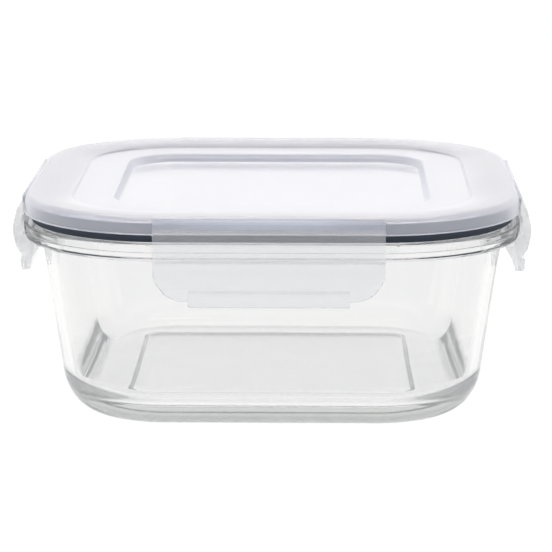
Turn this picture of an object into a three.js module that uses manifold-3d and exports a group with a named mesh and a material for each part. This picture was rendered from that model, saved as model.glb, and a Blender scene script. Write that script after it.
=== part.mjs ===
// Square glass food container with a snap-on lid: millimetres, +Z up.
// The origin is the middle of the face it stands on, and its front is at -Y.
// The glass, the lid and the seal share one plan shape, a square with round corners, so each
// is one outline of (half-width, height) points swept round the same four corner centres.
import * as THREE from "three";
import { mergeVertices } from "three/addons/utils/BufferGeometryUtils.js";
import Module from "manifold-3d";

const wasm = await Module();
wasm.setup();

// Plan shape.
const CORNER_CENTRE = 31; // corner centres stand at +-31, +-31
const CORNER_STEPS = 7; // facets in each quarter turn
const ARC_STEPS = 2; // curve divisions in a small fillet

// Glass dish.
const BASE_HALF = 53.1; // half-width of the flat base
const BASE_FILLET = new THREE.Vector2(10.8, 15); // elliptical turn from the base up into the wall
const DRAFT = THREE.MathUtils.degToRad(8.2); // outward lean of the wall
const WALL = 3.2; // thickness of the leaning wall, measured level
const RECESS_HALF = 43.5; // the middle of the base is recessed inside this
const RECESS_CORNER = 5; // radius of the recess's corners
const RECESS_DEPTH = 2;
const FLOOR = 6.8; // height of the inner floor
const FLOOR_FILLET = new THREE.Vector2(7, 8); // elliptical turn from the floor up into the bore
const RIM_HALF = 75; // half-width over the rim
const RIM_BOTTOM = 53.1; // face that the latch hooks pull on
const RIM_TOP = 58.1;
const RIM_STEP = 0.4; // the rim widens by this twice on its way up
const RIM_NECK = 1.6; // size of the turn from the wall out to the rim
const LIP_FOOT_HALF = 71; // the sealing lip above the rim tapers up from this half-width
const LIP_HALF = 70.3;
const LIP_TOP = 61.5;
const LIP_ROUND = 1.2;

// Lid.
const LID_WALL = 1.8;
const SKIRT_HALF = 74.5;
const SKIRT_BOTTOM = 60.8;
const CREST = 66.3; // highest line of the ridge round the lid
const RIDGE_INNER_HALF = 60.5; // where the ridge steps down to the shelf
const RIDGE_INNER_TOP = 65.3;
const SHELF_TOP = 64.8;
const PANEL_HALF = 46.5; // half-width of the sunken centre panel
const PANEL_TOP = 62;
const PLUG_HALF = 64.7; // outer face of the wall that plugs into the dish
const PLUG_BOTTOM = 57.6;
const CHANNEL_TOP = CREST - LID_WALL - 0.2; // ceiling of the channel that holds the seal
const CHANNEL_OUTER_HALF = SKIRT_HALF - LID_WALL + 0.1;

// Seal.
const FIT_GAP = 0.3; // clearance between pieces that touch
const SEAL_TOP = CHANNEL_TOP - FIT_GAP;
const SEAL_SEAT = LIP_TOP + FIT_GAP;
const SEAL_LEG = 1.2; // thickness of the two legs that straddle the lip
const SEAL_INNER_FOOT = 60.2;
const SEAL_OUTER_FOOT = RIM_TOP + FIT_GAP; // it shows below the lid as a dark line round the rim

// Latches, one on each side of the lid.
const LATCH_WIDTH = 66.8;
const LATCH_TOP = 62.65;
const LATCH_BOTTOM = 41.4; // height of the lower corners
const LATCH_CORNER = 9; // their radius
const LATCH_OUTER_HALF = 78.5; // half-width over the fattest part of a latch
const BULGE_HALF = LATCH_OUTER_HALF - 0.3; // where the outer face turns above and below it
const BULGE_HEIGHT = 54.6;
const TAB_WIDTH = 46.6; // finger tab that flares out at the bottom
const TAB_BOTTOM = 40;
const TAB_OUTER_HALF = 77.4;
const NECK_HALF = 74.9; // outer face of the neck above the tab
const NECK_HEIGHT = 45.4;
const HOOK_TOP = RIM_BOTTOM - 0.4;
const HOOK_EDGE = 0.7; // size of the turn at the hook's tip
const LATCH_INNER_HALF = 74.95; // inner face beside the lid's edge
const LATCH_RELIEF_HALF = 75.7; // inner face where the flap clears the rim
const HOOK_HALF = 70.6; // how far in the hook reaches below the rim
const HOOK_BOTTOM = 49.4;
const LAND_HALF = 75.3; // ledge on the lid's edge that the hinge web hangs from
const LAND_BOTTOM = 64.3;
const LAND_TOP = 65.2;
const WEB_THICKNESS = 0.3;

const SIDES = ["front", "right", "back", "left"]; // a quarter turn apart, anticlockwise from above

const GLASS = new THREE.MeshStandardMaterial({ color: 0xeaf0ee, roughness: 0.05, metalness: 0 });
const CLEAR_LID = new THREE.MeshStandardMaterial({ color: 0xe2e1ea, roughness: 0.3, metalness: 0 });
const SILICONE = new THREE.MeshStandardMaterial({ color: 0x98a3ba, roughness: 0.6, metalness: 0 });
const CLEAR_LATCH = new THREE.MeshStandardMaterial({ color: 0xeceded, roughness: 0.3, metalness: 0 });

// Angle round an elliptical fillet at which it leans as the wall does.
function filletEnd(radii) {
  return -Math.atan((radii.y / radii.x) * Math.tan(DRAFT));
}

// Half-width of the outer wall of the dish at a height above the base fillet.
function wallHalf(height) {
  const end = filletEnd(BASE_FILLET);
  const endHalf = BASE_HALF + BASE_FILLET.x * Math.cos(end);
  const endHeight = BASE_FILLET.y * (1 + Math.sin(end));
  return endHalf + (height - endHeight) * Math.tan(DRAFT);
}

// A lathe of the outline, anticlockwise in (half-width, height), with its four quarters pulled
// apart to the corner centres, so that straight walls join the round corners.
function roundedSquareSweep(path) {
  const outline = path.getPoints(ARC_STEPS);
  const quarterColumns = CORNER_STEPS + 1;
  const columns = 4 * quarterColumns;
  const geometry = new THREE.LatheGeometry(outline, columns);
  const position = geometry.attributes.position;
  for (let column = 0; column <= columns; column += 1) {
    const quarter = Math.floor(column / quarterColumns) % 4;
    const start = (quarter * Math.PI) / 2;
    const turn = start + ((column % quarterColumns) / CORNER_STEPS) * (Math.PI / 2);
    const diagonal = start + Math.PI / 4;
    outline.forEach(({ x: half, y: height }, row) => {
      const reach = Math.min(half, CORNER_CENTRE);
      const radius = half - reach;
      const x = Math.sign(Math.cos(diagonal)) * reach + radius * Math.cos(turn);
      const y = Math.sign(Math.sin(diagonal)) * reach + radius * Math.sin(turn);
      position.setXYZ(column * outline.length + row, x, y, height);
    });
  }
  return closed(geometry);
}

// The geometry with shared vertices merged and flattened triangles left out.
function closed(geometry) {
  geometry.deleteAttribute("normal");
  geometry.deleteAttribute("uv");
  const merged = mergeVertices(geometry, 1e-4);
  const corners = merged.index.array;
  const kept = [];
  for (let i = 0; i < corners.length; i += 3) {
    const [a, b, c] = corners.slice(i, i + 3);
    if (a !== b && b !== c && c !== a) kept.push(a, b, c);
  }
  merged.setIndex(kept);
  return merged;
}

function solid(geometry) {
  const { attributes, index } = closed(geometry);
  return new wasm.Manifold(
    new wasm.Mesh({
      numProp: 3,
      vertProperties: new Float32Array(attributes.position.array),
      triVerts: new Uint32Array(index.array),
    }),
  );
}

function geometryOf(manifold) {
  const { vertProperties, triVerts } = manifold.getMesh();
  const geometry = new THREE.BufferGeometry();
  geometry.setAttribute("position", new THREE.BufferAttribute(vertProperties, 3));
  geometry.setIndex(new THREE.BufferAttribute(triVerts, 1));
  return geometry;
}

// A section in (half-width, height), made a bar of the given width along the front side.
function frontBar(section, width) {
  const geometry = new THREE.ExtrudeGeometry(section, {
    depth: width,
    bevelEnabled: false,
    curveSegments: ARC_STEPS,
  });
  const outwards = new THREE.Vector3(0, -1, 0);
  const up = new THREE.Vector3(0, 0, 1);
  const along = new THREE.Vector3(-1, 0, 0);
  geometry.applyMatrix4(new THREE.Matrix4().makeBasis(outwards, up, along));
  geometry.translate(width / 2, 0, 0);
  return geometry;
}

// A square of the given half-width with round corners, as an outline to extrude.
function roundedSquare(half, corner) {
  const shape = new THREE.Shape();
  const centre = half - corner;
  shape.absarc(centre, centre, corner, 0, 0.5 * Math.PI);
  shape.absarc(-centre, centre, corner, 0.5 * Math.PI, Math.PI);
  shape.absarc(-centre, -centre, corner, Math.PI, 1.5 * Math.PI);
  shape.absarc(centre, -centre, corner, 1.5 * Math.PI, 2 * Math.PI);
  return shape;
}

// An elliptical fillet between a level stretch, straight below its centre, and the leaning wall.
// It is two arcs, so that each gets its own curve divisions.
function addFillet(path, centre, radii, rising) {
  const end = filletEnd(radii);
  const start = -Math.PI / 2;
  const middle = (start + end) / 2;
  const stops = rising ? [start, middle, end] : [end, middle, start];
  path.absellipse(centre.x, centre.y, radii.x, radii.y, stops[0], stops[1], !rising, 0);
  path.absellipse(centre.x, centre.y, radii.x, radii.y, stops[1], stops[2], !rising, 0);
}

function makeDish() {
  const boreHalf = (height) => wallHalf(height) - WALL;
  const boreEnd = filletEnd(FLOOR_FILLET);
  const boreEndHeight = FLOOR + FLOOR_FILLET.y * (1 + Math.sin(boreEnd));
  const floorHalf = boreHalf(boreEndHeight) - FLOOR_FILLET.x * Math.cos(boreEnd);
  const baseCentre = new THREE.Vector2(BASE_HALF, BASE_FILLET.y);
  const floorCentre = new THREE.Vector2(floorHalf, FLOOR + FLOOR_FILLET.y);
  const path = new THREE.Path();
  path.moveTo(0, 0);
  path.lineTo(BASE_HALF, 0);
  addFillet(path, baseCentre, BASE_FILLET, true);
  const wallAtRim = wallHalf(RIM_BOTTOM);
  path.lineTo(wallHalf(RIM_BOTTOM - RIM_NECK), RIM_BOTTOM - RIM_NECK);
  path.quadraticCurveTo(wallAtRim, RIM_BOTTOM, wallAtRim + RIM_NECK, RIM_BOTTOM);
  path.lineTo(RIM_HALF - 3.5 * RIM_STEP, RIM_BOTTOM);
  path.lineTo(RIM_HALF - 2 * RIM_STEP, RIM_BOTTOM + 1.5 * RIM_STEP);
  path.lineTo(RIM_HALF - 2 * RIM_STEP, RIM_BOTTOM + 2.5 * RIM_STEP);
  path.lineTo(RIM_HALF - RIM_STEP, RIM_BOTTOM + 3 * RIM_STEP);
  path.lineTo(RIM_HALF - RIM_STEP, RIM_BOTTOM + 6 * RIM_STEP);
  path.lineTo(RIM_HALF, RIM_BOTTOM + 6.5 * RIM_STEP);
  path.lineTo(RIM_HALF, RIM_TOP - 2 * RIM_STEP);
  path.quadraticCurveTo(RIM_HALF, RIM_TOP, RIM_HALF - 2 * RIM_STEP, RIM_TOP);
  path.lineTo(LIP_FOOT_HALF, RIM_TOP);
  path.lineTo(LIP_HALF, LIP_TOP - LIP_ROUND);
  path.quadraticCurveTo(LIP_HALF - 0.4, LIP_TOP, LIP_HALF - LIP_ROUND, LIP_TOP);
  path.lineTo(boreHalf(LIP_TOP) + LIP_ROUND, LIP_TOP);
  path.quadraticCurveTo(
    boreHalf(LIP_TOP),
    LIP_TOP,
    boreHalf(LIP_TOP - LIP_ROUND),
    LIP_TOP - LIP_ROUND,
  );
  addFillet(path, floorCentre, FLOOR_FILLET, false);
  path.lineTo(0, FLOOR);

  const recess = new THREE.ExtrudeGeometry(roundedSquare(RECESS_HALF, RECESS_CORNER), {
    depth: 2 * RECESS_DEPTH,
    bevelEnabled: false,
    curveSegments: 2 * ARC_STEPS,
  });
  recess.translate(0, 0, -RECESS_DEPTH);
  return geometryOf(solid(roundedSquareSweep(path)).subtract(solid(recess)));
}

function makeLid() {
  const shelfBottom = SHELF_TOP - LID_WALL;
  const plugInner = PLUG_HALF - LID_WALL + 0.2;
  const path = new THREE.Path();
  path.moveTo(0, PANEL_TOP - LID_WALL);
  path.lineTo(PANEL_HALF + 1, PANEL_TOP - LID_WALL);
  path.lineTo(PANEL_HALF + 2.2, PANEL_TOP - LID_WALL + 0.6);
  path.lineTo(PANEL_HALF + 3.2, shelfBottom);
  path.lineTo(plugInner, shelfBottom);
  path.lineTo(plugInner, PLUG_BOTTOM + 0.5);
  path.quadraticCurveTo(plugInner, PLUG_BOTTOM, plugInner + 0.5, PLUG_BOTTOM);
  path.lineTo(PLUG_HALF - 0.5, PLUG_BOTTOM);
  path.quadraticCurveTo(PLUG_HALF, PLUG_BOTTOM, PLUG_HALF, PLUG_BOTTOM + 0.5);
  path.lineTo(PLUG_HALF, CHANNEL_TOP);
  path.lineTo(CHANNEL_OUTER_HALF, CHANNEL_TOP);
  path.lineTo(CHANNEL_OUTER_HALF, SKIRT_BOTTOM);
  path.lineTo(SKIRT_HALF, SKIRT_BOTTOM);
  path.lineTo(SKIRT_HALF, CREST - 2.1);
  path.quadraticCurveTo(SKIRT_HALF, CREST, SKIRT_HALF - 2.1, CREST);
  // The ridge falls a little towards the middle, then steps down to the shelf.
  path.quadraticCurveTo(RIDGE_INNER_HALF + 6, CREST, RIDGE_INNER_HALF + 0.5, RIDGE_INNER_TOP);
  path.lineTo(RIDGE_INNER_HALF, RIDGE_INNER_TOP - 0.3);
  path.lineTo(RIDGE_INNER_HALF - 0.8, SHELF_TOP);
  path.lineTo(PANEL_HALF + 1.6, SHELF_TOP);
  path.lineTo(PANEL_HALF + 0.8, SHELF_TOP - 0.5);
  path.lineTo(PANEL_HALF, PANEL_TOP + 0.4);
  path.lineTo(PANEL_HALF - 0.6, PANEL_TOP);
  path.lineTo(0, PANEL_TOP);

  const ledge = new THREE.Shape();
  ledge.moveTo(SKIRT_HALF - 1.2, LAND_BOTTOM);
  ledge.lineTo(LAND_HALF, LAND_BOTTOM);
  ledge.lineTo(LAND_HALF, LAND_TOP - 0.3);
  ledge.lineTo(LAND_HALF - 0.3, LAND_TOP);
  ledge.lineTo(SKIRT_HALF - 1.2, LAND_TOP);

  let lid = solid(roundedSquareSweep(path));
  SIDES.forEach((side, turn) => {
    const land = frontBar(ledge, LATCH_WIDTH);
    land.rotateZ((turn * Math.PI) / 2);
    lid = lid.add(solid(land));
  });
  return geometryOf(lid);
}

// A soft ring of inverted-U section that sits in the lid's channel and straddles the glass lip.
function makeSeal() {
  const innerFace = PLUG_HALF + FIT_GAP;
  const outerFace = CHANNEL_OUTER_HALF - FIT_GAP;
  const path = new THREE.Path();
  path.moveTo(innerFace, SEAL_TOP);
  path.lineTo(innerFace, SEAL_INNER_FOOT);
  path.lineTo(innerFace + SEAL_LEG, SEAL_INNER_FOOT);
  path.lineTo(innerFace + SEAL_LEG, SEAL_SEAT);
  path.lineTo(outerFace - SEAL_LEG, SEAL_SEAT);
  path.lineTo(outerFace - SEAL_LEG, SEAL_OUTER_FOOT);
  path.lineTo(outerFace, SEAL_OUTER_FOOT);
  path.lineTo(outerFace, SEAL_TOP);
  path.lineTo(innerFace, SEAL_TOP);
  return roundedSquareSweep(path);
}

// One flap: it hangs from the hinge web, bulges past the rim, hooks under it and ends in a tab.
function makeLatch() {
  const section = new THREE.Shape();
  section.moveTo(LATCH_INNER_HALF, LATCH_TOP);
  section.lineTo(LATCH_INNER_HALF, RIM_TOP + 1.9);
  section.quadraticCurveTo(LATCH_RELIEF_HALF, RIM_TOP + 0.7, LATCH_RELIEF_HALF, RIM_TOP - 0.7);
  section.lineTo(LATCH_RELIEF_HALF, HOOK_TOP + 0.5);
  section.lineTo(LATCH_RELIEF_HALF - 0.5, HOOK_TOP);
  section.lineTo(HOOK_HALF + HOOK_EDGE, HOOK_TOP);
  section.lineTo(HOOK_HALF, HOOK_TOP - HOOK_EDGE);
  section.lineTo(HOOK_HALF, HOOK_BOTTOM);
  // From the hook the inner face slants out to the tab's foot.
  section.quadraticCurveTo(HOOK_HALF, HOOK_BOTTOM - 1.2, HOOK_HALF + 1.9, NECK_HEIGHT + 0.8);
  section.lineTo(TAB_OUTER_HALF - 3.2, TAB_BOTTOM + 1);
  section.lineTo(TAB_OUTER_HALF - 2.4, TAB_BOTTOM);
  section.lineTo(TAB_OUTER_HALF - 0.8, TAB_BOTTOM);
  section.lineTo(TAB_OUTER_HALF - 0.3, TAB_BOTTOM + 0.6);
  section.lineTo(TAB_OUTER_HALF, NECK_HEIGHT - 1.9);
  section.lineTo(TAB_OUTER_HALF - 0.5, NECK_HEIGHT - 1.1);
  section.lineTo(NECK_HALF, NECK_HEIGHT);
  // The outer face bulges over the rim and draws in again to the hinge.
  section.quadraticCurveTo(BULGE_HALF, 49.8, LATCH_OUTER_HALF, BULGE_HEIGHT);
  section.quadraticCurveTo(BULGE_HALF, 58.8, 76.9, LATCH_TOP - 1.4);
  section.lineTo(75.5, LATCH_TOP);

  // The tab reaches a little below the round corners beside it.
  const face = new THREE.Shape();
  const cornerHeight = LATCH_BOTTOM + LATCH_CORNER;
  const cornerX = LATCH_WIDTH / 2 - LATCH_CORNER;
  const tabX = TAB_WIDTH / 2;
  face.moveTo(LATCH_WIDTH / 2, LATCH_TOP + 1);
  face.lineTo(-LATCH_WIDTH / 2, LATCH_TOP + 1);
  face.absarc(-cornerX, cornerHeight, LATCH_CORNER, Math.PI, 1.5 * Math.PI);
  face.lineTo(-tabX, LATCH_BOTTOM);
  face.lineTo(-tabX, TAB_BOTTOM + 0.6);
  face.lineTo(-tabX + 0.7, TAB_BOTTOM - 0.1);
  face.lineTo(tabX - 0.7, TAB_BOTTOM - 0.1);
  face.lineTo(tabX, TAB_BOTTOM + 0.6);
  face.lineTo(tabX, LATCH_BOTTOM);
  face.absarc(cornerX, cornerHeight, LATCH_CORNER, 1.5 * Math.PI, 2 * Math.PI);

  const faceDepth = 20;
  const outline = new THREE.ExtrudeGeometry(face, {
    depth: faceDepth,
    bevelEnabled: false,
    curveSegments: 2 * ARC_STEPS,
  });
  outline.rotateX(Math.PI / 2);
  outline.translate(0, -LATCH_OUTER_HALF + faceDepth / 2, 0);

  let latch = solid(frontBar(section, LATCH_WIDTH)).intersect(solid(outline));
  // Beside the tab the flap stays as thin as the neck.
  const trimLength = (LATCH_WIDTH - TAB_WIDTH) / 2 + 1;
  const trimDepth = 4;
  const trimHeight = NECK_HEIGHT - TAB_BOTTOM;
  for (const end of [-1, 1]) {
    const trim = new THREE.BoxGeometry(trimLength, trimDepth, trimHeight);
    trim.translate(
      end * (tabX + trimLength / 2),
      -NECK_HALF - trimDepth / 2,
      NECK_HEIGHT - trimHeight / 2,
    );
    latch = latch.subtract(solid(trim));
  }
  return geometryOf(latch);
}

// The thin film between the lid's ledge and a latch, which bends as the latch opens.
function makeHingeWeb() {
  const bottom = LATCH_TOP + FIT_GAP;
  const top = LAND_BOTTOM - FIT_GAP;
  const web = new THREE.BoxGeometry(LATCH_WIDTH - 1, WEB_THICKNESS, top - bottom);
  web.translate(0, -(LAND_HALF - 0.2), (top + bottom) / 2);
  return web;
}

function part(name, geometry, material) {
  const mesh = new THREE.Mesh(geometry, material);
  mesh.name = name;
  return mesh;
}

const container = new THREE.Group();
container.add(part("glass_dish", makeDish(), GLASS));
container.add(part("lid", makeLid(), CLEAR_LID));
container.add(part("silicone_seal", makeSeal(), SILICONE));
SIDES.forEach((side, turn) => {
  const edge = new THREE.Group();
  edge.add(part("latch_" + side, makeLatch(), CLEAR_LATCH));
  edge.add(part("hinge_web_" + side, makeHingeWeb(), CLEAR_LID));
  edge.rotation.z = (turn * Math.PI) / 2;
  container.add(edge);
});

export default container;
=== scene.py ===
"""A square glass food container with a translucent snap lid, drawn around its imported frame.

The dish, the lid and the seal are one outline each, swept round a square with round corners.
Each latch is a bar of its section, shaped at its corners. The object's lengths are in
millimetres, and become metres where a mesh is made. The front is towards -Y, and a half-width is
a distance from the middle out to a side.
"""

import math

import bmesh
import bpy
from mathutils import Matrix, Vector


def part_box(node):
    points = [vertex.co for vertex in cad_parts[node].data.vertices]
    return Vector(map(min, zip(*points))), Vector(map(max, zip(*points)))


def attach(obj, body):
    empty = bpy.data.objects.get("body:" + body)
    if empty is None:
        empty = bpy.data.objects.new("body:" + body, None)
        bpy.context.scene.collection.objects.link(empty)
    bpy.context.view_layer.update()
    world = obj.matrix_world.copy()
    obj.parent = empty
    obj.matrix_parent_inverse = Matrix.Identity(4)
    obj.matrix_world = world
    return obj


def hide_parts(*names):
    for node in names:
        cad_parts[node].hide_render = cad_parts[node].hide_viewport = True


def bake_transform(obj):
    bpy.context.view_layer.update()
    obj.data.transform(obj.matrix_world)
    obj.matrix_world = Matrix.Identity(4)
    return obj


MM = 0.001
QUARTER_TURN = math.pi / 2
SIDES = ("front", "right", "back", "left")  # a quarter turn apart, anticlockwise from above

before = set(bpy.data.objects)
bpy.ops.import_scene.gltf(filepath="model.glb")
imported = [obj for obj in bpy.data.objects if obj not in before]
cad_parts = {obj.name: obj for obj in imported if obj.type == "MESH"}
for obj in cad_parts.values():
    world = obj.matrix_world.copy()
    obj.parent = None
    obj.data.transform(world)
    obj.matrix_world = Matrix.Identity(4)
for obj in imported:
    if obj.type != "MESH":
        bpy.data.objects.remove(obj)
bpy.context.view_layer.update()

# Levels and half-widths that the frame gives, in millimetres.
DISH_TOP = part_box("glass_dish")[1].z / MM
RIM_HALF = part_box("glass_dish")[1].x / MM
PLUG_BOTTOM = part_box("lid")[0].z / MM
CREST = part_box("lid")[1].z / MM
LEDGE_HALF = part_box("lid")[1].y / MM
SEAL_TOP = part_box("silicone_seal")[1].z / MM
SEAL_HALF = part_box("silicone_seal")[1].x / MM
SEAL_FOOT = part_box("silicone_seal")[0].z / MM
LATCH_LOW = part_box("latch_front")[0] / MM
LATCH_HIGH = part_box("latch_front")[1] / MM
WEB_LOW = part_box("hinge_web_front")[0] / MM
WEB_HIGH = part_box("hinge_web_front")[1] / MM

# How fine the meshes are.
CORNER_STEPS = 22  # facets round one corner of the plan
FILLET_STEP = math.radians(9)  # turn of one facet in a rounded corner of an outline
WEB_ROWS = 8

# The plan shape.
CORNER_CENTRE = 31.0  # from the middle to a corner's centre, along each axis

# The dish.
DRAFT = math.radians(8.2)
WALL = 3.2
BASE_HALF = 53.1  # flat base, from where an elliptical fillet turns up into the wall
BASE_FILLET = Vector((10.8, 15.0))
BORE_FLOOR = 6.8
BORE_FILLET = Vector((7.0, 8.0))
RECESS_HALF = 43.5  # the base is recessed inside this, and stands on the ring round it
RECESS_CORNER = 5.0
RECESS_DEPTH = 2.0
RIM_BOTTOM = DISH_TOP - 8.4
RIM_TOP = DISH_TOP - 3.4
LIP_FOOT_HALF = RIM_HALF - 4.0
LIP_HALF = RIM_HALF - 4.6

# The lid and its seal.
FIT_GAP = 0.3  # between the seal and what it sits in or on
LID_WALL = 1.8
SKIRT_HALF = RIM_HALF - 0.5
SKIRT_BOTTOM = CREST - 5.5
RIDGE_INNER_HALF = 60.5
SHELF_TOP = CREST - 1.5
PANEL_HALF = 46.5
PANEL_TOP = CREST - 4.3
PLUG_HALF = 64.7
PLUG_WALL = 1.6
CHANNEL_TOP = SEAL_TOP + FIT_GAP
CHANNEL_HALF = SEAL_HALF + FIT_GAP
SEAL_LEG = 1.2
SEAL_INNER_HEIGHT = 3.8
LEDGE_LOW = 64.3
LEDGE_GAP = 0.01  # between a ledge and the skirt
WEB_GAP = 0.02  # between a web and what it joins, at either end

# The latches.
LATCH_WIDTH = LATCH_HIGH.x - LATCH_LOW.x
LATCH_CORNER = 9.0
LATCH_EDGE = 0.35  # width of the soft edge all round
TAB_WIDTH = 46.6
TAB_BOTTOM = 40.0
TAB_DROP = 1.4  # how far the tab reaches below the flap's round corners
NECK_HALF = 74.9
NECK_HEIGHT = 45.4
HOOK_TOP = RIM_BOTTOM - 0.4

# The studio, in metres.
PAPER_HALF = 6
WARM_WHITE = (1, 0.91, 0.80)
COOL_WHITE = (0.85, 0.93, 1)
LIGHT_BOUNCES = 32  # with fewer, light inside the layers of glass and plastic is lost


def rounded(corners, closed=False):
    """The points of an outline through corners of (half-width, height, fillet radius)."""
    points = []
    count = len(corners)
    for i, (x, z, radius) in enumerate(corners):
        here = Vector((x, z))
        at_end = not closed and i in (0, count - 1)
        if radius == 0 or at_end:
            points.append(here)
            continue
        before = Vector(corners[i - 1][:2]) - here
        after = Vector(corners[(i + 1) % count][:2]) - here
        inner_angle = before.angle(after)
        reach = radius / math.tan(inner_angle / 2)
        start = here + before.normalized() * reach
        end = here + after.normalized() * reach
        bisector = (before.normalized() + after.normalized()).normalized()
        centre = here + bisector * (radius / math.sin(inner_angle / 2))
        turn = math.pi - inner_angle
        steps = max(3, math.ceil(turn / FILLET_STEP))
        for step in range(steps + 1):
            weight = step / steps
            # Equal turns along the arc, from the start's direction to the end's.
            arm_a = (start - centre) * math.sin((1 - weight) * turn)
            arm_b = (end - centre) * math.sin(weight * turn)
            points.append(centre + (arm_a + arm_b) / math.sin(turn))
    return points


def plan_columns():
    """(corner centre direction, outward direction) for each column of a sweep."""
    columns = []
    for quarter in range(4):
        start = quarter * QUARTER_TURN
        middle = start + QUARTER_TURN / 2
        centre = Vector((math.copysign(1, math.cos(middle)), math.copysign(1, math.sin(middle))))
        for step in range(CORNER_STEPS + 1):
            turn = start + step / CORNER_STEPS * QUARTER_TURN
            columns.append((centre, Vector((math.cos(turn), math.sin(turn)))))
    return columns


def linked(name, bm):
    """The object of a mesh that has been put together, linked to the scene."""
    mesh = bpy.data.meshes.new(name)
    bm.to_mesh(mesh)
    bm.free()
    obj = bpy.data.objects.new(name, mesh)
    bpy.context.scene.collection.objects.link(obj)
    return obj


def keep_flats(obj):
    """Large faces lead the smooth normals, so that what is flat looks flat."""
    normals = obj.modifiers.new("flat_faces_stay_flat", "WEIGHTED_NORMAL")
    normals.weight = 100


def swept(name, outline, closed, centres=None):
    """A smooth mesh of the outline swept round the plan shape, with its open ends capped flat.

    centres gives each point's corner centre where the plan's corners change along the outline.
    """
    centres = centres or [CORNER_CENTRE] * len(outline)
    bm = bmesh.new()
    rings = []
    for centre, outward in plan_columns():
        ring = []
        for point, corner in zip(outline, centres):
            reach = min(point.x, corner)
            plan = centre * reach + outward * (point.x - reach)
            ring.append(bm.verts.new((plan.x * MM, plan.y * MM, point.y * MM)))
        rings.append(ring)
    rows = len(outline)
    spans = rows if closed else rows - 1
    for i, ring in enumerate(rings):
        following = rings[(i + 1) % len(rings)]
        for row in range(spans):
            up = (row + 1) % rows
            bm.faces.new((ring[row], following[row], following[up], ring[up]))
    if not closed:
        bm.faces.new([ring[0] for ring in reversed(rings)])
        bm.faces.new([ring[-1] for ring in rings])
    bmesh.ops.recalc_face_normals(bm, faces=bm.faces)
    obj = linked(name, bm)
    obj.data.shade_smooth()
    keep_flats(obj)
    return obj


def elliptical_fillet(centre, radii, steps=16):
    """From straight down to where the ellipse leans as the wall does, as points."""
    end = -math.atan(radii.y / radii.x * math.tan(DRAFT))
    start = -QUARTER_TURN
    turns = [start + (end - start) * i / steps for i in range(steps + 1)]
    return [centre + Vector((radii.x * math.cos(t), radii.y * math.sin(t))) for t in turns]


def make_dish():
    """The glass dish: a recessed base, a leaning wall, a stepped rim and a lip above it."""
    lean = math.tan(DRAFT)
    outside = elliptical_fillet(Vector((BASE_HALF, BASE_FILLET.y)), BASE_FILLET)
    wall = outside[-1]
    # The bore follows the wall, a wall's thickness inside it.
    bore = elliptical_fillet(Vector((0, BORE_FLOOR + BORE_FILLET.y)), BORE_FILLET)
    shift = wall.x + (bore[-1].y - wall.y) * lean - WALL - bore[-1].x
    bore = [p + Vector((shift, 0)) for p in bore]
    wall_at_rim = wall.x + (RIM_BOTTOM - wall.y) * lean
    bore_at_lip = bore[-1].x + (DISH_TOP - bore[-1].y) * lean
    # The last corner only leads out of the fillet before it, and is dropped.
    recess = rounded([
        (RECESS_HALF - 4, RECESS_DEPTH, 0),
        (RECESS_HALF - 0.8, RECESS_DEPTH, 0.9),
        (RECESS_HALF, 0, 0.7),
        (RECESS_HALF + 3, 0, 0),
    ])[:-1]
    # The first corner and the last are already there, as the ends of the wall and the bore.
    rim = rounded([
        (wall.x, wall.y, 0),
        (wall_at_rim, RIM_BOTTOM, 1.4),
        (RIM_HALF - 0.9, RIM_BOTTOM, 0.25),
        (RIM_HALF - 0.6, RIM_BOTTOM + 0.65, 0.2),
        (RIM_HALF - 1.4, RIM_BOTTOM + 0.95, 0.05),  # a fine groove low on the rim
        (RIM_HALF - 0.3, RIM_BOTTOM + 1.25, 0.15),
        (RIM_HALF - 0.3, RIM_BOTTOM + 2.55, 0.12),
        (RIM_HALF, RIM_BOTTOM + 2.75, 0.3),
        (RIM_HALF, RIM_TOP, 0.5),
        (LIP_FOOT_HALF, RIM_TOP, 0.3),
        (LIP_HALF, DISH_TOP - 0.2, 1.2),
        (LIP_HALF - 1.5, DISH_TOP, 1.2),
        (bore_at_lip, DISH_TOP, 1.0),
        (bore[-1].x, bore[-1].y, 0),
    ])[1:-1]
    outline = recess + outside + rim + bore[::-1]
    outline.append(Vector((CORNER_CENTRE + 1, BORE_FLOOR)))
    centres = [RECESS_HALF - RECESS_CORNER] * len(recess)
    centres += [CORNER_CENTRE] * (len(outline) - len(centres))
    return swept("glass_body", outline, closed=False, centres=centres)


def make_lid():
    """The lid's shell: from the panel's underside, out round the skirt and back over the top."""
    shelf_bottom = SHELF_TOP - LID_WALL
    plug_inner = PLUG_HALF - PLUG_WALL
    cap_half = CORNER_CENTRE + 9  # the sunken panel is one flat face inside this
    outline = rounded([
        (cap_half, PANEL_TOP - LID_WALL, 0),
        (PANEL_HALF + 2.0, PANEL_TOP - LID_WALL, 1.0),
        (PANEL_HALF + 3.4, shelf_bottom, 0.8),
        (plug_inner, shelf_bottom, 0.7),
        (plug_inner, PLUG_BOTTOM, 0.5),
        (PLUG_HALF, PLUG_BOTTOM, 0.5),
        (PLUG_HALF, CHANNEL_TOP, 0.4),
        (CHANNEL_HALF, CHANNEL_TOP, 0.5),
        (CHANNEL_HALF, SKIRT_BOTTOM, 0.25),
        (SKIRT_HALF + 0.2, SKIRT_BOTTOM, 0.15),  # a thin bead along the skirt's lower edge
        (SKIRT_HALF + 0.2, SKIRT_BOTTOM + 0.3, 0.1),
        (SKIRT_HALF, SKIRT_BOTTOM + 0.45, 0.1),
        (SKIRT_HALF, CREST, 1.9),
        (RIDGE_INNER_HALF + 7, CREST, 40),
        (RIDGE_INNER_HALF, CREST - 1.0, 0.5),
        (RIDGE_INNER_HALF - 0.8, SHELF_TOP, 0.4),
        (PANEL_HALF + 1.3, SHELF_TOP, 0.8),
        (PANEL_HALF, PANEL_TOP, 0.6),
        (cap_half, PANEL_TOP, 0),
    ])
    return swept("lid_shell", outline, closed=False)


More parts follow.
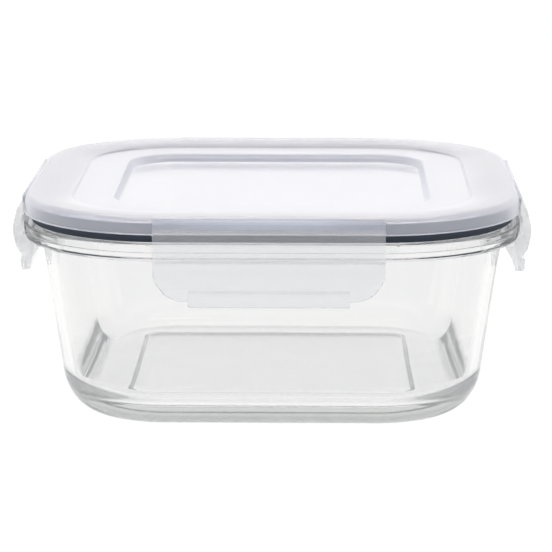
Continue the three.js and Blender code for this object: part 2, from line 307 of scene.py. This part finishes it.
def make_seal():
    """The silicone ring, with a leg on each side of the glass lip."""
    inner_half = PLUG_HALF + FIT_GAP
    inner_foot = SEAL_TOP - SEAL_INNER_HEIGHT
    seat = DISH_TOP + FIT_GAP
    outline = rounded([
        (inner_half, SEAL_TOP, 0.3),
        (inner_half, inner_foot, 0.4),
        (inner_half + SEAL_LEG, inner_foot, 0.4),
        (inner_half + SEAL_LEG, seat, 0.5),
        (SEAL_HALF - SEAL_LEG, seat, 0.5),
        (SEAL_HALF - SEAL_LEG, SEAL_FOOT, 0.4),
        (SEAL_HALF, SEAL_FOOT, 0.2),
        (SEAL_HALF, SEAL_TOP, 0.3),
    ], closed=True)
    return swept("seal_ring", outline, closed=True)


def latch_section():
    """The section of a latch, in half-width and height, down its back and up its face."""
    top = LATCH_HIGH.z
    bulge = -LATCH_LOW.y
    return rounded([
        (74.95, top, 0.15),
        (74.95, 59.8, 1.5),
        (75.7, 58.2, 1.5),  # behind the bulge, clear of the rim
        (75.65, HOOK_TOP, 0.4),
        (71.0, HOOK_TOP, 0.5),  # the hook
        (70.6, 49.2, 1.4),
        (72.6, 46.0, 1.5),
        (74.5, TAB_BOTTOM, 0.9),  # the tab
        (77.1, TAB_BOTTOM, 0.9),
        (77.4, NECK_HEIGHT - 1.4, 0.8),
        (NECK_HALF, NECK_HEIGHT - 0.4, 0.7),  # the neck
        (77.4, 49.3, 4.0),
        (bulge, 54.8, 8.0),
        (76.9, 61.3, 1.0),
        (75.5, top, 0.3),
    ], closed=True)


def prism(name, points, depth, matrix):
    """The solid between an outline in the XY plane and its copy a depth above it, then placed."""
    bm = bmesh.new()
    low = [bm.verts.new((p[0] * MM, p[1] * MM, 0)) for p in points]
    high = [bm.verts.new((p[0] * MM, p[1] * MM, depth * MM)) for p in points]
    bm.faces.new(low)
    bm.faces.new(high)
    for i in range(len(points)):
        j = (i + 1) % len(points)
        bm.faces.new((low[i], low[j], high[j], high[i]))
    bmesh.ops.recalc_face_normals(bm, faces=bm.faces)
    bm.transform(matrix)
    return linked(name, bm)


def front_bar(name, section, width):
    """A section of (half-width, height) points, made a bar along the front side."""
    basis = Matrix(((0, 0, -1), (-1, 0, 0), (0, 1, 0))).to_4x4()
    return prism(name, section, width, Matrix.Translation((width / 2 * MM, 0, 0)) @ basis)


def front_cutter(name, face, half_width, depth):
    """A face of (sideways, height) points at the front, made solid outward from a half-width."""
    upright = Matrix.Rotation(QUARTER_TURN, 4, "X")
    return prism(name, face, depth, Matrix.Translation((0, -half_width * MM, 0)) @ upright)


def carved(obj, cutter, operation):
    """obj after a boolean with cutter, which is deleted."""
    modifier = obj.modifiers.new("carve", "BOOLEAN")
    modifier.object = cutter
    modifier.operation = operation
    modifier.solver = "EXACT"
    depsgraph = bpy.context.evaluated_depsgraph_get()
    mesh = bpy.data.meshes.new_from_object(obj.evaluated_get(depsgraph))
    obj.modifiers.clear()
    obj.data = mesh
    bpy.data.objects.remove(cutter)
    return obj


def turned_to_side(bar, turn):
    """A bar made along the front, turned to its own side and shaded smooth."""
    bar.data.transform(Matrix.Rotation(turn * QUARTER_TURN, 4, "Z"))
    bar.data.shade_smooth()
    return bar


def make_latch(side, turn):
    """A latch: its section, with round lower corners and a narrower tab between them."""
    bar = front_bar("flap_" + side, latch_section(), LATCH_WIDTH)
    half = LATCH_WIDTH / 2
    tab = TAB_WIDTH / 2
    corner_level = TAB_BOTTOM + TAB_DROP
    above = LATCH_HIGH.z + 2
    below = TAB_BOTTOM - 0.1
    face = rounded([
        (half, above, 0),
        (-half, above, 0),
        (-half, corner_level, LATCH_CORNER),
        (-tab, corner_level, 0.3),
        (-tab, below, 1.0),
        (tab, below, 1.0),
        (tab, corner_level, 0.3),
        (half, corner_level, LATCH_CORNER),
    ], closed=True)
    carved(bar, front_cutter("face", face, half_width=65, depth=20), "INTERSECT")
    # Only the tab stands out below the neck, so the flap beside it is cut back.
    for end in (-1, 1):
        near = end * tab
        far = near + end * 12
        under = TAB_BOTTOM - 1
        trim = [(near, NECK_HEIGHT), (far, NECK_HEIGHT), (far, under), (near, under)]
        carved(bar, front_cutter("trim", trim, half_width=NECK_HALF, depth=5), "DIFFERENCE")
    turned_to_side(bar, turn)
    bevel = bar.modifiers.new("soft_edges", "BEVEL")
    bevel.width = LATCH_EDGE * MM
    bevel.segments = 3
    bevel.limit_method = "ANGLE"
    bevel.angle_limit = math.radians(35)
    keep_flats(bar)
    return bar


def make_ledge(side, turn):
    """The ledge on the lid's edge that a web hangs from."""
    section = rounded([
        (SKIRT_HALF + LEDGE_GAP, LEDGE_LOW, 0),
        (LEDGE_HALF, LEDGE_LOW, 0.15),
        (LEDGE_HALF, LEDGE_LOW + 0.9, 0.4),
        (SKIRT_HALF - 0.6, LEDGE_LOW + 1.0, 0),
        (SKIRT_HALF + LEDGE_GAP, LEDGE_LOW + 0.4, 0),
    ], closed=True)
    return turned_to_side(front_bar("ledge_" + side, section, LATCH_WIDTH), turn)


def make_web(side, turn):
    """The web, a thin film between a ledge and a latch, in rows."""
    inner = -WEB_HIGH.y
    outer = -WEB_LOW.y
    low = LATCH_HIGH.z + WEB_GAP
    high = LEDGE_LOW - WEB_GAP
    levels = [low + (high - low) * i / WEB_ROWS for i in range(WEB_ROWS + 1)]
    section = [(outer, level) for level in levels]
    section += [(inner, level) for level in reversed(levels)]
    return turned_to_side(front_bar("hinge_film_" + side, section, LATCH_WIDTH), turn)


def new_material(name):
    """A new material, with its nodes and its links."""
    material = bpy.data.materials.new(name)
    material.use_nodes = True
    return material, material.node_tree.nodes, material.node_tree.links


def noise(material, place, scale, detail):
    """The value of a noise that is fixed to the piece."""
    texture = material.node_tree.nodes.new("ShaderNodeTexNoise")
    texture.inputs["Scale"].default_value = scale
    texture.inputs["Detail"].default_value = detail
    material.node_tree.links.new(place.outputs["Object"], texture.inputs["Vector"])
    return texture.outputs["Fac"]


def remapped(material, value, span, new_span):
    """A value taken from one span to another, and held at its ends."""
    node = material.node_tree.nodes.new("ShaderNodeMapRange")
    node.inputs["From Min"].default_value = span[0]
    node.inputs["From Max"].default_value = span[1]
    node.inputs["To Min"].default_value = new_span[0]
    node.inputs["To Max"].default_value = new_span[1]
    material.node_tree.links.new(value, node.inputs["Value"])
    return node.outputs["Result"]


def two_tones(material, value, low, high):
    """A colour that drifts between two with a value."""
    tint = material.node_tree.nodes.new("ShaderNodeMix")
    tint.data_type = "RGBA"
    tint.inputs["A"].default_value = (*low, 1)
    tint.inputs["B"].default_value = (*high, 1)
    material.node_tree.links.new(value, tint.inputs["Factor"])
    return tint.outputs["Result"]


def uneven_surface(material, height, strength, distance):
    """Bump on the material's main shader, from a height."""
    nodes = material.node_tree.nodes
    links = material.node_tree.links
    bump = nodes.new("ShaderNodeBump")
    bump.inputs["Strength"].default_value = strength
    bump.inputs["Distance"].default_value = distance
    links.new(height, bump.inputs["Height"])
    links.new(bump.outputs["Normal"], nodes["Principled BSDF"].inputs["Normal"])


def mixed(material, under, over):
    """A node that mixes one shader over another. Its Fac is the share of the upper one."""
    mix = material.node_tree.nodes.new("ShaderNodeMixShader")
    material.node_tree.links.new(under, mix.inputs[1])
    material.node_tree.links.new(over, mix.inputs[2])
    return mix


def lamp_rays_pass(material, tint):
    """Rays from lamps pass the surface, tinted, so that what is behind it is lit."""
    nodes = material.node_tree.nodes
    links = material.node_tree.links
    surface = nodes["Material Output"].inputs["Surface"]
    path = nodes.new("ShaderNodeLightPath")
    through = nodes.new("ShaderNodeBsdfTransparent")
    through.inputs["Color"].default_value = (*tint, 1)
    mix = mixed(material, surface.links[0].from_socket, through.outputs["BSDF"])
    links.new(path.outputs["Is Shadow Ray"], mix.inputs["Fac"])
    links.new(mix.outputs["Shader"], surface)


def light_is_lost_inside(material, colour, density):
    """Light fades on its way through the piece, so that long ways through it look darker."""
    nodes = material.node_tree.nodes
    absorption = nodes.new("ShaderNodeVolumeAbsorption")
    absorption.inputs["Color"].default_value = (*colour, 1)
    absorption.inputs["Density"].default_value = density
    volume = nodes["Material Output"].inputs["Volume"]
    material.node_tree.links.new(absorption.outputs["Volume"], volume)


def glass_material():
    """Clear pressed glass, slightly uneven, with faint scuffs and a stippled underside."""
    material, nodes, links = new_material("pressed_glass")
    shader = nodes["Principled BSDF"]
    shader.inputs["Base Color"].default_value = (0.93, 0.93, 0.93, 1)
    shader.inputs["Transmission Weight"].default_value = 1
    shader.inputs["IOR"].default_value = 1.5
    place = nodes.new("ShaderNodeTexCoord")
    slow_wave = noise(material, place, scale=35, detail=1)
    uneven_surface(material, slow_wave, strength=0.06, distance=0.001)
    scuffs = noise(material, place, scale=400, detail=3)
    scuffed = remapped(material, scuffs, (0.35, 0.75), (0, 0.04))
    # The underside has the fine stipple of its mould, up to the top of the recess.
    split = nodes.new("ShaderNodeSeparateXYZ")
    links.new(place.outputs["Object"], split.inputs["Vector"])
    stipple_ends = ((RECESS_DEPTH + 0.1) * MM, (RECESS_DEPTH + 0.5) * MM)
    stippled = remapped(material, split.outputs["Z"], stipple_ends, (0.18, 0))
    total = nodes.new("ShaderNodeMath")
    total.operation = "ADD"
    links.new(scuffed, total.inputs[0])
    links.new(stippled, total.inputs[1])
    links.new(total.outputs["Value"], shader.inputs["Roughness"])
    lamp_rays_pass(material, (0.93, 0.95, 0.945))
    light_is_lost_inside(material, (0.73, 0.745, 0.742), 13)
    return material


def milky_plastic(name, through, milk_colour, milk, glow, roughness, ior, coat):
    """Moulded polypropylene: clear and milky at once, with a fine moulded grain.

    What passes through it takes one colour, and what its milk scatters takes another. milk is
    the share that it scatters back, and glow the share that it scatters onward.
    """
    material, nodes, links = new_material(name)
    shader = nodes["Principled BSDF"]
    shader.inputs["Base Color"].default_value = (*through, 1)
    shader.inputs["Transmission Weight"].default_value = 1
    shader.inputs["IOR"].default_value = ior
    shader.inputs["Coat Weight"].default_value = coat
    shader.inputs["Coat Roughness"].default_value = 0.12
    place = nodes.new("ShaderNodeTexCoord")
    clouds = noise(material, place, scale=30, detail=2)
    tint = two_tones(material, clouds, milk_colour, [c * 0.965 for c in milk_colour])
    grain = noise(material, place, scale=900, detail=2)
    grained = remapped(material, grain, (0.3, 0.7), (roughness, roughness + 0.05))
    links.new(grained, shader.inputs["Roughness"])
    uneven_surface(material, grain, strength=0.05, distance=0.0002)
    # Each scattering layer is mixed over what is there: first the milk, then the glow through it.
    seen = shader.outputs["BSDF"]
    for kind, share in (("ShaderNodeBsdfDiffuse", milk), ("ShaderNodeBsdfTranslucent", glow)):
        layer = nodes.new(kind)
        links.new(tint, layer.inputs["Color"])
        mix = mixed(material, seen, layer.outputs["BSDF"])
        mix.inputs["Fac"].default_value = share
        seen = mix.outputs["Shader"]
    links.new(seen, nodes["Material Output"].inputs["Surface"])
    lamp_rays_pass(material, (0.72, 0.72, 0.75))
    return material


def silicone_material():
    """Dull silicone, a little mottled, in a near-black blue-grey that is partly painted shade:
    the seal showing below the skirt stands in for the shadowed gap there.
    """
    material, nodes, links = new_material("silicone")
    shader = nodes["Principled BSDF"]
    place = nodes.new("ShaderNodeTexCoord")
    mottle = noise(material, place, scale=120, detail=3)
    # Painted shade: both tones are darker than the silicone's own colour, so that the seal below
    # the skirt reads as the shadowed gap.
    tint = two_tones(material, mottle, (0.034, 0.046, 0.066), (0.028, 0.038, 0.055))
    links.new(tint, shader.inputs["Base Color"])
    shader.inputs["Roughness"].default_value = 0.7
    return material


def make_world():
    """A studio that is white on the far side, and dim and slightly blue at the front."""
    world = bpy.data.worlds.new("studio")
    bpy.context.scene.world = world
    world.use_nodes = True
    nodes = world.node_tree.nodes
    links = world.node_tree.links
    place = nodes.new("ShaderNodeTexCoord")
    split = nodes.new("ShaderNodeSeparateXYZ")
    links.new(place.outputs["Generated"], split.inputs["Vector"])
    ramp = nodes.new("ShaderNodeValToRGB")
    ramp.color_ramp.interpolation = "EASE"
    stops = ramp.color_ramp.elements
    stops[0].position = 0
    stops[0].color = (0.19, 0.235, 0.32, 1)
    stops[1].position = 1
    stops[1].color = (1, 1, 1, 1)
    for position, colour in ((0.15, (0.22, 0.265, 0.35, 1)), (0.4, (0.9, 0.9, 0.9, 1))):
        stops.new(position).color = colour
    links.new(split.outputs["Y"], ramp.inputs["Fac"])
    links.new(ramp.outputs["Color"], nodes["Background"].inputs["Color"])


def make_floor():
    """A sheet of white paper that glows slightly, just below the dish."""
    bm = bmesh.new()
    bmesh.ops.create_grid(bm, x_segments=1, y_segments=1, size=PAPER_HALF)
    floor = linked("floor", bm)
    floor.location.z = -0.05 * MM
    material, nodes, _ = new_material("paper")
    shader = nodes["Principled BSDF"]
    shader.inputs["Base Color"].default_value = (0.12, 0.12, 0.12, 1)
    shader.inputs["Emission Color"].default_value = (1, 1, 1, 1)
    shader.inputs["Emission Strength"].default_value = 0.93
    shader.inputs["Roughness"].default_value = 0.9
    shader.inputs["Specular IOR Level"].default_value = 0
    floor.data.materials.append(material)


def softbox(name, place, target, size, power, colour):
    """A square area light that faces its target. Lengths are in metres, and power in watts."""
    data = bpy.data.lights.new(name, "AREA")
    data.shape = "RECTANGLE"
    data.size = size
    data.size_y = size
    data.energy = power
    data.color = colour
    light = bpy.data.objects.new(name, data)
    light.location = place
    aim = Vector(target) - Vector(place)
    light.rotation_mode = "QUATERNION"
    light.rotation_quaternion = aim.to_track_quat("-Z", "Y")
    bpy.context.scene.collection.objects.link(light)


def make_camera():
    """The camera stands a little right of straight ahead and looks slightly down."""
    elevation = math.radians(11.82)
    azimuth = math.radians(1.02)
    distance = 0.85
    middle = Vector((0.0007, 0, 0.0335))
    back = Vector((
        math.sin(azimuth) * math.cos(elevation),
        -math.cos(azimuth) * math.cos(elevation),
        math.sin(elevation),
    ))
    data = bpy.data.cameras.new("camera")
    data.sensor_width = 36
    data.lens = 175.6
    camera = bpy.data.objects.new("camera", data)
    camera.location = middle + back * distance
    camera.rotation_mode = "QUATERNION"
    camera.rotation_quaternion = (-back).to_track_quat("-Z", "Y")
    bpy.context.scene.collection.objects.link(camera)
    bpy.context.scene.camera = camera


def placed(piece, body, node, material):
    """Give a piece its material, the body it rides on, and the node it replaces, if any."""
    piece.data.materials.clear()
    piece.data.materials.append(material)
    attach(piece, body)
    if node:
        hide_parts(node)


glass = glass_material()
lid_plastic = milky_plastic(
    "lid_plastic",
    through=(0.93, 0.905, 0.895),
    milk_colour=(0.80, 0.825, 0.90),
    milk=0.29,
    glow=0.04,
    roughness=0.15,
    ior=1.3,
    coat=1.0,
)
latch_plastic = milky_plastic(
    "latch_plastic",
    through=(0.98, 0.98, 0.98),
    milk_colour=(0.96, 0.96, 0.965),
    milk=0.17,
    glow=0.03,
    roughness=0.02,
    ior=1.1,
    coat=0.2,
)
light_is_lost_inside(latch_plastic, (0.7, 0.7, 0.7), 8)
hinge_plastic = milky_plastic(
    "hinge_plastic",
    through=(0.95, 0.94, 0.94),
    milk_colour=(0.83, 0.86, 0.93),
    milk=0.55,
    glow=0.15,
    roughness=0.2,
    ior=1.3,
    coat=0.5,
)
silicone = silicone_material()

placed(make_dish(), "container", "glass_dish", glass)
placed(make_lid(), "lid", "lid", lid_plastic)
placed(make_seal(), "lid", "silicone_seal", silicone)
for turn, side in enumerate(SIDES):
    placed(make_latch(side, turn), "latch_" + side, "latch_" + side, latch_plastic)
    placed(make_ledge(side, turn), "lid", None, hinge_plastic)
    web = make_web(side, turn)
    web.data.materials.append(hinge_plastic)
    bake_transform(web)
    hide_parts("hinge_web_" + side)

make_camera()
make_world()
make_floor()
softbox("top_softbox", (0, 0.1, 1.2), (0, 0, 0), 1.2, 14.5, WARM_WHITE)
softbox("left_softbox", (-1.0, -0.9, 0.7), (0, 0, 0.04), 0.7, 1.2, COOL_WHITE)
softbox("right_softbox", (1.0, -0.9, 0.7), (0, 0, 0.04), 0.7, 0.6, COOL_WHITE)
bpy.context.scene.view_settings.view_transform = "Standard"
bpy.context.scene.cycles.max_bounces = LIGHT_BOUNCES
bpy.context.scene.cycles.transmission_bounces = LIGHT_BOUNCES
bpy.context.scene.cycles.glossy_bounces = LIGHT_BOUNCES
bpy.context.scene.cycles.transparent_max_bounces = LIGHT_BOUNCES
